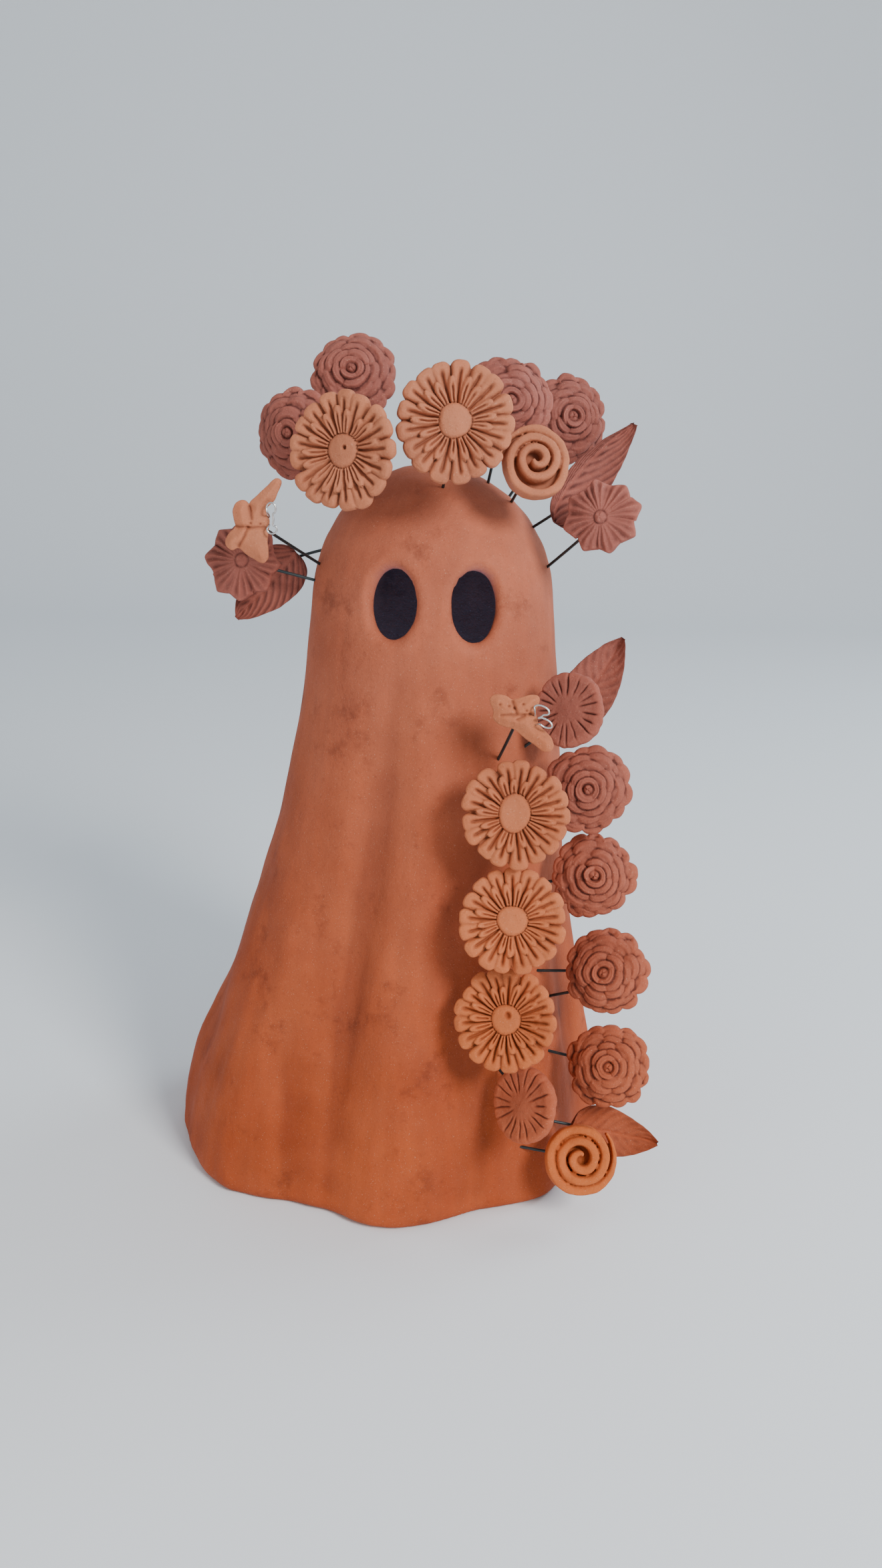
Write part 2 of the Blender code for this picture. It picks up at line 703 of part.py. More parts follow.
def main():
    clear_scene()
    body_clay = material("body_terracotta", TERRACOTTA, 0.8)
    light = material("light_clay", LIGHT_CLAY, 0.82)
    red = material("red_clay", RED_CLAY, 0.85)
    iron = material("fired_iron", FIRED_IRON, 0.5, 0.9)
    bright = material("bright_wire", BRIGHT_WIRE, 0.3, 1.0)
    clay = {
        "daisy": light,
        "butterfly": light,
        "spiral": light,
        "pompon": red,
        "leaf": red,
        "bellflower": red,
        "button": red,
    }
    root = bpy.data.objects.new("ghost_axis", None)
    bpy.context.collection.objects.link(root)
    root.location = (AXIS_AT[0] * MM, AXIS_AT[1] * MM, 0.0)
    holes = []
    for item in ORNAMENTS:
        frame = frame_of(item)
        holes.append((item.hole, wire_entry(item, frame)[0]))
        if item.name == BRACE_OF:
            holes.append((BRACE_HOLE, brace_entry(item, frame)[0]))
    for made in ghost_body(body_clay, holes):
        made.parent = root
    for item in ORNAMENTS:
        build_ornament(item, root, clay, iron, bright)


main()
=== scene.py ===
"""The looks of a hollow clay ghost, decorated in the tree-of-life manner with clay flowers, leaves and
butterflies on springy iron wires.

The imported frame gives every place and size. Shapes below are worked out in millimetres, in each ornament's
own frame: its back at z = 0, facing +Z, y up its face. MM turns them into Blender's metres.
"""

import json
import math
from collections import namedtuple

import bmesh
import bpy
import numpy as np
from mathutils import Matrix, Vector, noise


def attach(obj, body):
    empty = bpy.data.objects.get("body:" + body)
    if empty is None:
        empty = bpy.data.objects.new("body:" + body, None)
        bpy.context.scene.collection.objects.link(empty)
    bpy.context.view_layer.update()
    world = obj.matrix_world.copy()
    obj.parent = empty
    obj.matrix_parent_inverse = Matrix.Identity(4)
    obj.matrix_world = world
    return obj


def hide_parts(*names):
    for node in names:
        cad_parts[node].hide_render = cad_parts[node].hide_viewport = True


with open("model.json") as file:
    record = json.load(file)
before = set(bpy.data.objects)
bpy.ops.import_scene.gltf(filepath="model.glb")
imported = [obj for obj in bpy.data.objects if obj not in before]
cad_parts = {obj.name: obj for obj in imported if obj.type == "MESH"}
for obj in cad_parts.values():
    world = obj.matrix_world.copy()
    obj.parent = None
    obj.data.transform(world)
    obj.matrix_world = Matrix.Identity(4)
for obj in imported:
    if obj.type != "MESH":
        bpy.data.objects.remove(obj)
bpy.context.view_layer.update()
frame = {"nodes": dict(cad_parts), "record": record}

MM = 0.001
TAU = 2 * math.pi

NOISE_SEED = 7  # anything but 0, which would take the seed from the clock
noise.seed_set(NOISE_SEED)

# Each ornament's kind, where it faces (bearing and rise in degrees: bearing 0 looks along -Y and 90 along
# +X), its turn about that direction in degrees, and the arguments that set it apart from its kind.
Ornament = namedtuple("Ornament", "kind face turn traits")

ORNAMENTS = {
    "crown_daisy_left": Ornament("daisy", (-24, 6), 4, {"pit": (1.5, 0.9, 0.8)}),
    "crown_daisy_front": Ornament("daisy", (4, 8), 0, {}),
    "crown_pompon_top": Ornament("pompon", (-6, 20), 10, {}),
    "crown_pompon_left": Ornament("pompon", (-22, 4), 50, {}),
    "crown_pompon_right": Ornament("pompon", (8, 10), 85, {}),
    "crown_pompon_far_right": Ornament("pompon", (14, 8), 20, {}),
    "crown_spiral_rose": Ornament("spiral", (10, 20), 200, {"dropped": 7.0}),
    "crown_leaf": Ornament(
        "leaf", (15, 0), 52, {"broad": 0.42, "behind": 3.5, "midrib_at": 0.55, "slant": 4.6}
    ),
    "crown_bellflower": Ornament("bellflower", (-18, 14), 15, {"ruffle": 0.55}),
    "left_butterfly": Ornament("butterfly", (0, 5), 0, {"shape": "long_winged"}),
    "left_bellflower": Ornament("bellflower", (0, 12), 0, {"ruffle": 0.95}),
    "left_leaf": Ornament("leaf", (12, 8), 226, {"broad": 0.62, "slant": 3.6}),
    "cascade_leaf_upper": Ornament("leaf", (-5, 12), 60, {"broad": 0.53, "ribbed": 0.4}),
    "cascade_button_upper": Ornament("button", (-30, 18), 0, {}),
    "cascade_butterfly": Ornament("butterfly", (-3, 14), 0, {"shape": "broad_winged"}),
    "cascade_daisy_1": Ornament("daisy", (-3, 17), 0, {"disc_height": 1.28}),
    "cascade_daisy_2": Ornament("daisy", (-3, 20), 7, {}),
    "cascade_daisy_3": Ornament("daisy", (-14, 23), 3, {"pit": (0.8, 1.9, 1.25)}),
    "cascade_pompon_1": Ornament("pompon", (-4, 16), 0, {}),
    "cascade_pompon_2": Ornament("pompon", (-6, 20), 40, {}),
    "cascade_pompon_3": Ornament("pompon", (-15, 20), 65, {}),
    "cascade_pompon_4": Ornament("pompon", (-10, 25), 15, {}),
    "cascade_button_lower": Ornament("button", (-46, 18), 0, {}),
    "cascade_leaf_lower": Ornament("leaf", (8, 25), -14, {"broad": 0.58, "ribbed": 0.35}),
    "cascade_spiral_rose": Ornament("spiral", (2, 28), 60, {}),
}

CLAY_OF = {
    "daisy": "light_clay",
    "spiral": "light_clay",
    "butterfly": "light_clay",
    "pompon": "red_clay",
    "bellflower": "red_clay",
    "button": "red_clay",
    "leaf": "red_clay",
}


# ---------------------------------------------------------------- materials

class Nodes:
    """A short way to write a material's node tree."""

    def __init__(self, name):
        self.material = bpy.data.materials.new(name)
        self.material.use_nodes = True
        self.tree = self.material.node_tree
        self.shader = self.tree.nodes["Principled BSDF"]
        self.place = self.add("ShaderNodeTexCoord").outputs["Object"]

    def add(self, kind, **settings):
        node = self.tree.nodes.new(kind)
        for key, value in settings.items():
            setattr(node, key, value)
        return node

    def link(self, output, socket):
        self.tree.links.new(output, socket)

    def stretched(self, scale):
        mapping = self.add("ShaderNodeMapping")
        mapping.inputs["Scale"].default_value = scale
        self.link(self.place, mapping.inputs["Vector"])
        return mapping.outputs["Vector"]

    def noise(self, scale, detail=3.0, roughness=0.55, place=None):
        made = self.add("ShaderNodeTexNoise")
        made.inputs["Scale"].default_value = scale
        made.inputs["Detail"].default_value = detail
        made.inputs["Roughness"].default_value = roughness
        self.link(place or self.place, made.inputs["Vector"])
        return made.outputs["Fac"]

    def remap(self, value, low, high, to_low=0.0, to_high=1.0):
        made = self.add("ShaderNodeMapRange")
        self.link(value, made.inputs["Value"])
        made.inputs["From Min"].default_value = low
        made.inputs["From Max"].default_value = high
        made.inputs["To Min"].default_value = to_low
        made.inputs["To Max"].default_value = to_high
        return made.outputs["Result"]

    def maths(self, operation, one, two):
        made = self.add("ShaderNodeMath", operation=operation)
        for socket, value in zip(made.inputs, (one, two)):
            if isinstance(value, (int, float)):
                socket.default_value = value
            else:
                self.link(value, socket)
        return made.outputs["Value"]

    def mix(self, share, one, two, blend="MIX"):
        made = self.add("ShaderNodeMix", data_type="RGBA", blend_type=blend)
        for name, value in (("Factor_Float", share), ("A_Color", one), ("B_Color", two)):
            socket = next(s for s in made.inputs if s.identifier == name)
            if isinstance(value, (int, float, tuple)):
                socket.default_value = value
            else:
                self.link(value, socket)
        return next(s for s in made.outputs if s.identifier == "Result_Color")

    def bump(self, height, distance, strength=1.0, normal=None):
        made = self.add("ShaderNodeBump")
        made.inputs["Distance"].default_value = distance
        made.inputs["Strength"].default_value = strength
        self.link(height, made.inputs["Height"])
        if normal:
            self.link(normal, made.inputs["Normal"])
        return made.outputs["Normal"]


def clay(name, colour, warm_light_at_foot, relief, smudges_and_fold_shade=0.0):
    """Unglazed fired clay: blotches, wiped streaks, sand grain, painted shade in the hollows, and paler
    raised edges that are partly wear and partly painted highlight. Its colour turns towards a warmer tone at
    the foot of the object, a painted warmer light. The mesh's relief attribute is the depth of each point
    below its surroundings in millimetres, and relief is how strongly the painted shade and highlight show.
    The smudges argument adds dark spots, and dark streaks hanging down near the foot that are painted shade
    standing in for the folds."""
    n = Nodes(name)
    height = n.add("ShaderNodeSeparateXYZ")
    n.link(n.place, height.inputs["Vector"])
    # painted warm light: the colour turns warmer towards the foot, as if a warmer light fell there
    low_down = n.remap(height.outputs["Z"], 0.25, 0.04)
    base = n.mix(low_down, colour, warm_light_at_foot)

    blotch = n.remap(n.noise(26.0, 5.0, 0.62), 0.36, 0.66)
    base = n.mix(n.maths("MULTIPLY", blotch, 0.85), base, (0.78, 0.71, 0.69, 1.0), "MULTIPLY")
    streak = n.remap(n.noise(150.0, 3.0, 0.6, n.stretched((1.0, 1.0, 0.10))), 0.42, 0.72)
    base = n.mix(n.maths("MULTIPLY", streak, 0.50), base, (1.22, 1.16, 1.10, 1.0), "MULTIPLY")
    fleck = n.remap(n.noise(1300.0, 2.0, 0.5), 0.60, 0.72)
    base = n.mix(n.maths("MULTIPLY", fleck, 0.34), base, (0.50, 0.46, 0.45, 1.0), "MULTIPLY")
    sand = n.remap(n.noise(2100.0, 2.0, 0.5, n.stretched((1.0, 1.3, 0.9))), 0.64, 0.76)
    base = n.mix(n.maths("MULTIPLY", sand, 0.28), base, (0.74, 0.50, 0.36, 1.0))
    if smudges_and_fold_shade:
        dark = n.remap(n.noise(48.0, 6.0, 0.72), 0.56, 0.70)
        base = n.mix(n.maths("MULTIPLY", dark, smudges_and_fold_shade), base, (0.50, 0.44, 0.44, 1.0), "MULTIPLY")
        # painted shade: dark streaks hanging down near the foot stand in for the shade between the hanging
        # folds
        fold_shade_streak = n.remap(n.noise(34.0, 3.0, 0.5, n.stretched((1.0, 1.0, 0.13))), 0.42, 0.66)
        fold_shaded = n.maths("MULTIPLY", fold_shade_streak, n.maths("MULTIPLY", low_down, 0.8))
        base = n.mix(fold_shaded, base, (0.80, 0.68, 0.56, 1.0), "MULTIPLY")

    depth = n.add("ShaderNodeAttribute", attribute_name="relief").outputs["Fac"]
    # paler raised points: partly wear, partly a painted highlight on edges that catch the light
    worn_and_lit_edge = n.remap(depth, -0.02, -0.34)
    base = n.mix(n.maths("MULTIPLY", worn_and_lit_edge, relief * 0.55), base, (1.30, 1.24, 1.18, 1.0), "MULTIPLY")
    # painted shade: points below their surroundings are darkened, as shade falls in the hollows
    hollow = n.remap(depth, 0.02, 0.38)
    base = n.mix(n.maths("MULTIPLY", hollow, relief), base, (0.34, 0.27, 0.29, 1.0), "MULTIPLY")
    n.link(base, n.shader.inputs["Base Color"])

    n.link(n.remap(n.noise(60.0, 4.0), 0.3, 0.7, 0.72, 0.90), n.shader.inputs["Roughness"])
    n.shader.inputs["Specular IOR Level"].default_value = 0.30
    marks = n.bump(n.noise(260.0, 3.0, 0.6), 0.0006, 0.55)
    grain = n.bump(n.noise(1300.0, 2.0, 0.7), 0.0003, 0.65, marks)
    n.link(grain, n.shader.inputs["Normal"])
    return n.material


def iron(name):
    """Dark fired iron wire with a little rust."""
    n = Nodes(name)
    rust = n.remap(n.noise(420.0, 4.0, 0.6), 0.55, 0.72)
    base = n.mix(n.maths("MULTIPLY", rust, 0.5), (0.040, 0.052, 0.055, 1.0), (0.13, 0.065, 0.04, 1.0))
    n.link(base, n.shader.inputs["Base Color"])
    n.shader.inputs["Metallic"].default_value = 0.75
    n.link(n.remap(rust, 0.0, 1.0, 0.42, 0.7), n.shader.inputs["Roughness"])
    n.link(n.bump(n.noise(2200.0, 2.0), 0.0001, 0.4), n.shader.inputs["Normal"])
    return n.material


def bright_wire(name):
    """Clean galvanised wire."""
    n = Nodes(name)
    dull = n.remap(n.noise(700.0, 3.0), 0.4, 0.7)
    n.link(n.mix(dull, (0.62, 0.62, 0.61, 1.0), (0.42, 0.43, 0.43, 1.0)), n.shader.inputs["Base Color"])
    n.shader.inputs["Metallic"].default_value = 0.9
    n.link(n.remap(dull, 0.0, 1.0, 0.25, 0.42), n.shader.inputs["Roughness"])
    return n.material


def plain(name, colour, roughness):
    n = Nodes(name)
    n.shader.inputs["Base Color"].default_value = colour
    n.shader.inputs["Roughness"].default_value = roughness
    n.shader.inputs["Specular IOR Level"].default_value = 0.2
    return n.material


# ---------------------------------------------------------------- places, read from the frame

class Seat:
    """An ornament's own frame, worked out from its CAD node: the middle of its back, its axes, its size."""

    def __init__(self, name, item):
        bearing, rise = (math.radians(a) for a in item.face)
        forward = Vector(
            (math.sin(bearing) * math.cos(rise), -math.cos(bearing) * math.cos(rise), math.sin(rise))
        )
        right = Vector((0, 0, 1)).cross(forward).normalized()
        axes = Matrix((right, forward.cross(right), forward)).transposed()
        axes = axes @ Matrix.Rotation(math.radians(item.turn), 3, "Z")
        self.axes = np.array(axes)
        points = np.array([v.co for v in frame["nodes"][name].data.vertices]) / MM
        local = points @ self.axes
        low, high = local.min(axis=0), local.max(axis=0)
        middle = (low + high) / 2
        if item.kind == "leaf":
            middle[0] = low[0]
        self.origin = self.axes @ np.array((middle[0], middle[1], low[2]))
        self.length = high[0] - low[0]
        self.size = max(self.length, high[1] - low[1])

    def world(self, points):
        return (self.origin + np.asarray(points) @ self.axes.T) * MM


def smoothed(mesh, places, rounds, movable=None):
    """A mesh's points after rounds of averaging with their neighbours; movable picks those that move."""
    count = len(places)
    edges = np.empty(len(mesh.edges) * 2, np.int32)
    mesh.edges.foreach_get("vertices", edges)
    one, two = edges.reshape(-1, 2).T
    links = np.maximum(np.bincount(edges, minlength=count), 1)
    smooth = places.copy()
    for _ in range(rounds):
        for axis in range(3):
            total = np.bincount(one, smooth[two, axis], count) + np.bincount(two, smooth[one, axis], count)
            moved = total / links
            smooth[:, axis] = moved if movable is None else np.where(movable, moved, smooth[:, axis])
    return smooth


def mesh_points(mesh):
    places = np.empty(len(mesh.vertices) * 3)
    mesh.vertices.foreach_get("co", places)
    return places.reshape(-1, 3)


def mesh_normals(mesh):
    normals = np.empty(len(mesh.vertices) * 3, np.float32)
    mesh.vertex_normals.foreach_get("vector", normals)
    return normals.reshape(-1, 3)


RELIEF_ROUNDS = 14  # rounds of smoothing that give the surface a point's relief is measured from


def mark_relief(mesh):
    """Stores how deep each point lies below the smoothed surface round it, in millimetres."""
    places = mesh_points(mesh)
    fall = smoothed(mesh, places, RELIEF_ROUNDS) - places
    depth = (fall * mesh_normals(mesh)).sum(axis=1) / MM
    layer = mesh.attributes.new("relief", "FLOAT", "POINT")
    layer.data.foreach_set("value", depth.astype(np.float32))


def finished(made, looks, node, body):
    """Gives a piece its material, and puts it in its CAD node's place."""
    made.data.materials.clear()
    made.data.materials.append(looks)
    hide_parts(node)
    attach(made, body)
    return made


def mesh_object(name, points, faces):
    mesh = bpy.data.meshes.new(name)
    mesh.from_pydata(np.asarray(points).tolist(), [], faces)
    mesh.validate()
    mesh.shade_smooth()
    made = bpy.data.objects.new(name, mesh)
    bpy.context.collection.objects.link(made)
    return made


def remeshed(made, voxel, smoothing):
    """Fuses a piece's overlapping bodies into one skin, keeps the largest, and softens its edges."""
    modifier = made.modifiers.new("remesh", "REMESH")
    modifier.mode = "VOXEL"
    modifier.voxel_size = voxel
    evaluated = made.evaluated_get(bpy.context.evaluated_depsgraph_get())
    fused = bpy.data.meshes.new_from_object(evaluated)
    made.modifiers.clear()
    made.data = fused
    bm = bmesh.new()
    bm.from_mesh(fused)
    drop_small_parts(bm)
    for _ in range(smoothing):
        bmesh.ops.smooth_vert(
            bm, verts=bm.verts, factor=0.5, use_axis_x=True, use_axis_y=True, use_axis_z=True
        )
    bm.to_mesh(fused)
    bm.free()
    fused.shade_smooth()
    return made


def drop_small_parts(bm):
    """Deletes every closed part but the largest."""
    unseen = set(bm.verts)
    parts = []
    while unseen:
        part = {unseen.pop()}
        edge_of_part = set(part)
        while edge_of_part:
            near = {e.other_vert(v) for v in edge_of_part for e in v.link_edges}
            edge_of_part = near - part
            part |= edge_of_part
        unseen -= part
        parts.append(part)
    parts.sort(key=len)
    for part in parts[:-1]:
        bmesh.ops.delete(bm, geom=list(part), context="VERTS")


def hand_made(points, amount, width, seed):
    """Moves points a little on smooth noise, as fingers and a worn mould leave clay."""
    shift = Vector((7.3, 3.1, 5.7)) * seed
    moved = []
    for point in points:
        place = Vector(point)
        moved.append(place + amount * noise.noise_vector(place / width + shift))
    return np.array(moved)


# ---------------------------------------------------------------- moulded flowers

def wrapped(angle):
    return (angle + math.pi) % TAU - math.pi


def window(value, start, end, soft):
    """1 between start and end, with soft shoulders."""
    return np.clip((value - start) / soft, 0, 1) * np.clip((end - value) / soft, 0, 1)


def moulded(edge, front, back, rim, sides, rings):
    """A closed moulded disc: edge gives its outline's radius at an angle, front its height over the plan,
    back its underside at a radius; rim is how far its rounded edge bulges."""
    angles = np.arange(sides) * TAU / sides
    along = np.column_stack((np.cos(angles), np.sin(angles)))
    reach = edge(angles)
    inner = reach - rim
    rows = []
    for share in np.arange(1, rings + 1) / rings:
        plan = along * (share * inner)[:, None]
        rows.append(np.column_stack((plan, front(plan[:, 0], plan[:, 1]))))
    lip = rows[-1][:, 2]
    under = back(reach)
    for turn in np.radians((18, 40, 65, 90, 115, 140, 162)):
        plan = along * (inner + rim * math.sin(turn))[:, None]
        rows.append(np.column_stack((plan, (lip + under) / 2 + (lip - under) / 2 * math.cos(turn))))
    for share in (1.0, 0.88, 0.72, 0.56, 0.40, 0.27, 0.16, 0.07):
        radius = share * inner
        rows.append(np.column_stack((along * radius[:, None], back(radius))))
    zero = np.zeros(1)
    tips = np.array([[0, 0, front(zero, zero)[0]], [0, 0, back(zero)[0]]])
    points = np.vstack(rows + [tips])
    top, bottom = len(points) - 2, len(points) - 1
    faces = []
    for i in range(sides):
        j = (i + 1) % sides
        faces.append((top, i, j))
        for k in range(len(rows) - 1):
            faces.append((k * sides + i, (k + 1) * sides + i, (k + 1) * sides + j, k * sides + j))
        last = (len(rows) - 1) * sides
        faces.append((last + i, bottom, last + j))
    return points, faces


def bowl(radius, depth, width=1.6):
    """A shallow bowl's underside with a small knob in its middle, where the wire goes in."""
    knob = 1.2 * np.exp(-((radius / 3.2) ** 2))
    return depth * np.clip(radius / 20.0, 0, 1) ** width - knob


DAISY_PETALS = 17
DAISY_DISC = 0.275  # the disc's radius as a share of the flower's


def along_petal(x, y, angle, r):
    """How far points lie along a petal's axis and beside it, as shares of the flower's radius."""
    along = (x * math.cos(angle) + y * math.sin(angle)) / r
    beside = (y * math.cos(angle) - x * math.sin(angle)) / r
    return along, beside


def daisy(size, rng, pit=None, disc_height=1.0):
    """Two rows of creased spoon petals round a smooth flat disc, which disc_height stretches upwards.
    A pit in the disc is given by how far it lies across and up from the middle, and its radius."""
    r = size / 2
    step = TAU / DAISY_PETALS
    centres = (np.arange(DAISY_PETALS) + rng.uniform(-0.13, 0.13, DAISY_PETALS)) * step
    lengths = 1.0 - rng.uniform(0.0, 0.06, DAISY_PETALS)
    lifts = rng.uniform(-0.35, 0.45, DAISY_PETALS)
    tilts = rng.uniform(-0.5, 0.9, DAISY_PETALS)
    shorts = rng.uniform(0.60, 0.73, DAISY_PETALS)
    spread = math.tan(step / 2)
    pear_end = rng.uniform(0, TAU)

    def edge(angles):
        away = np.abs(wrapped(angles[:, None] - centres)) / (step / 2)
        return r * np.max(lengths * (1.0 - 0.082 * np.minimum(away, 1.25) ** 3.6), axis=1)

    def front(x, y):
        radius = np.hypot(x, y) / r
        floor = np.interp(radius, (0.24, 0.45, 0.70, 0.92, 1.0), (2.3, 2.8, 3.6, 4.2, 4.1))
        z = floor
        for centre, length, lift, tilt in zip(centres, lengths, lifts, tilts):
            u, v = along_petal(x, y, centre, r)
            s = v / np.maximum(u * spread * 1.04, 0.004)
            body = 1.7 * (1.0 - np.abs(s) ** 9) + 0.75 * u * (1.0 - s**2) + (lift + tilt * s) * u
            tip = 1.3 * np.clip((u / length - 0.84) / 0.16, 0, 1) ** 2
            width = 0.36 + 0.36 * u
            crease = 2.0 * np.exp(-((v * r / width) ** 2)) * window(u / length, 0.22, 0.88, 0.10)
            z = np.where((np.abs(s) < 1) & (u > 0), np.maximum(z, floor + body - tip - crease), z)
        for centre, length in zip(centres + step / 2, shorts):
            u, v = along_petal(x, y, centre, r)
            beyond = np.clip((u - 0.44) / (length - 0.44), 0, 1)
            half = np.maximum(u * spread * 0.80, 0.004) * np.sqrt(1.0 - 0.999 * beyond**2.4)
            s = v / np.maximum(half, 0.004)
            body = 1.3 + 1.55 * (1.0 - np.abs(s) ** 4) + 0.5 * np.clip((u - 0.4) / 0.2, 0, 1)
            crease = 1.35 * np.exp(-((v * r / 0.34) ** 2)) * window(u, 0.26, length - 0.09, 0.07)
            on_petal = (np.abs(s) < 1) & (u > 0) & (u < length)
            z = np.where(on_petal, np.maximum(z, floor + body - crease), z)
        pear = 1.0 + 0.07 * np.cos(np.arctan2(y, x) - pear_end) ** 3
        disc = np.hypot(x, y / disc_height) / (DAISY_DISC * r * pear)
        boss = 5.1 + 0.4 * (1.0 - disc**2) - 0.8 * np.clip((disc - 0.74) / 0.26, 0, 1) ** 2
        z = np.where(disc < 1.0, boss, np.where(disc < 1.05, np.minimum(z, 4.0), z))
        if pit:
            across, up, radius = pit
            z = z - 1.9 * np.exp(-((np.hypot(x - across, y - up) / radius) ** 4))
        return z

    return moulded(edge, front, lambda radius: bowl(radius, 2.2), 0.9, DAISY_PETALS * 20, 62)


# Rings of a marigold's petals, from its bud outwards: how far their tips reach as a share of its radius,
# how many there are, and how high they stand over the dome, in millimetres.
POMPON_RINGS = (
    (0.26, 3, 5.2), (0.42, 5, 4.3), (0.58, 7, 3.4), (0.74, 9, 2.4), (0.88, 12, 1.2), (1.0, 14, 0.0),
)


def pompon(size, rng):
    """A domed marigold: rings of rounded petals that overlap outwards, no two alike, round a curled bud."""
    r = size / 2
    outermost = len(POMPON_RINGS) - 1
    petals = []
    for ring, (tip, count, level) in enumerate(POMPON_RINGS):
        for j in range(count):
            middle = TAU * (j + 0.5 * (ring % 2) + rng.uniform(-0.17, 0.17)) / count + 0.3 * ring
            half_angle = TAU / count * rng.uniform(0.60, 0.76)
            reach = tip * rng.uniform(0.91, 1.0 if ring == outermost else 1.12)
            petals.append((ring, middle, half_angle, reach, level + rng.uniform(-0.6, 0.6)))
    outer = [petal for petal in petals if petal[0] == outermost]
    curl = rng.uniform(0, TAU)

    def lobe(angles, middle, half_angle, reach):
        away = np.abs(wrapped(angles - middle)) / half_angle
        return away, reach * (1.0 - 0.14 * np.minimum(away, 1.2) ** 2.4)

    def edge(angles):
        return r * np.max([lobe(angles, *petal[1:4])[1] for petal in outer], axis=0)

    def front(x, y):
        radius = np.hypot(x, y) / r
        angle = np.arctan2(y, x)
        dome = 3.4 + 6.0 * (1.0 - np.minimum(radius, 1.0) ** 2) ** 0.6
        z = dome - 1.5
        for ring, middle, half_angle, reach, level in petals:
            away, tip = lobe(angle, middle, half_angle, reach)
            s = radius / np.maximum(tip, 0.01)
            rounding = np.sqrt(np.clip(1.0 - s**18, 0, 1) * np.clip(1.0 - away**12, 0, 1))
            inside = np.clip((tip - radius) / 0.17, 0, 1)
            fold = 0.38 * np.cos(TAU * (1.4 * inside + 0.15 * away)) * (1.0 - inside)
            crown = 1.3 * (1.0 - away**2) - 1.2 * inside
            petal = dome + level - 1.5 + (2.3 + crown + fold) * rounding
            z = np.where((away < 1) & (s < 1), np.maximum(z, petal), z)
        bud = np.hypot(x, y)
        turned = 0.7 + 0.3 * np.cos(angle - curl)
        trough = 1.5 * np.exp(-(((bud - 2.1) / 0.5) ** 2))
        return z + 0.5 * np.exp(-((bud / 1.5) ** 2)) - trough * turned

    return moulded(edge, front, lambda radius: bowl(radius, 3.6, 2.0), 1.7, 240, 72)


BELL_LOBES = 8


def bellflower(size, rng, ruffle=0.5):
    """An open bell seen from its mouth: blunt lobes with soft ribs, like a small umbrella."""
    r = size / 2
    step = TAU / BELL_LOBES
    centres = (np.arange(BELL_LOBES) + rng.uniform(-0.14, 0.14, BELL_LOBES)) * step
    lengths = 1.0 - rng.uniform(0.0, 0.09, BELL_LOBES)
    shifts = rng.uniform(-0.3, 0.3, BELL_LOBES)
    strengths = rng.uniform(0.6, 1.2, BELL_LOBES)

    def lobes(angles):
        away = wrapped(angles[..., None] - centres) / (step / 2)
        nearest = np.argmin(np.abs(away), axis=-1)
        return np.clip(np.take_along_axis(away, nearest[..., None], -1)[..., 0], -1, 1), nearest

    def edge(angles):
        away, nearest = lobes(angles)
        blunt = np.sqrt(away**2 + 0.02) - 0.14
        return r * lengths[nearest] * (1.0 - 0.155 * blunt * (1.75 - 0.75 * blunt))

    def front(x, y):
        radius = np.hypot(x, y) / r
        angle = np.arctan2(y, x)
        away, nearest = lobes(angle)
        z = 3.6 + 3.9 * (1.0 - np.minimum(radius, 1.0) ** 1.7)
        spread = window(radius, 0.16, 1.25, 0.5)
        z = z + (0.9 - 1.5 * np.sqrt(away**2 + 0.02)) * spread * (0.75 + 0.5 * ruffle)
        ribs = np.cos(TAU * (1.5 * away + shifts[nearest]))
        z = z + (0.22 + 0.38 * ruffle) * strengths[nearest] * ribs * spread
        boss = np.hypot(x, y) / (0.15 * r)
        knob = 1.1 * np.clip(1.0 - boss**2, 0, 1) ** 0.5 * (1.0 - 0.3 * np.cos(4 * angle) * boss)
        return z + knob - 0.15 * np.exp(-(((boss - 1.1) / 0.2) ** 2))

    return moulded(edge, front, lambda radius: bowl(radius, 2.4, 1.2), 0.8, 320, 46)


BUTTON_GROOVES = 19


def button(size, rng):
    """A cushion-shaped round flower with pinched radial grooves and a smooth middle."""
    r = size / 2
    starts = rng.uniform(0.20, 0.46, BUTTON_GROOVES)
    ends = rng.uniform(0.86, 1.08, BUTTON_GROOVES)
    depths = rng.uniform(0.45, 1.0, BUTTON_GROOVES)
    shifts = rng.uniform(-0.15, 0.15, BUTTON_GROOVES)
    places = (np.arange(BUTTON_GROOVES) + shifts) * TAU / BUTTON_GROOVES
    waves = rng.uniform(0, TAU, 3)

    def edge(angles):
        wobble = 0.020 * np.sin(3 * angles + waves[0]) + 0.013 * np.sin(5 * angles + waves[1])
        notch = 0.016 * np.sum(np.exp(-((wrapped(angles[:, None] - places) / 0.07) ** 2)), axis=1)
        return r * (0.985 + wobble - notch)

    def front(x, y):
        radius = np.hypot(x, y) / r
        angle = np.arctan2(y, x)
        z = 5.9 - 1.5 * np.minimum(radius, 1.0) ** 4 + 0.5 * np.exp(-((radius / 0.30) ** 2))
        z = z + 0.55 * np.exp(-(((radius - 0.86) / 0.12) ** 2))
        for place, start, end, depth in zip(places, starts, ends, depths):
            aside = wrapped(angle - place) * radius * r
            groove = np.exp(-((aside / 0.36) ** 2))
            z = z - 1.2 * depth * groove * window(radius, start, end, 0.16)
        return z

    return moulded(edge, front, lambda radius: bowl(radius, 1.8, 1.3), 1.1, 240, 36)


# ---------------------------------------------------------------- rolled, pressed and cut shapes

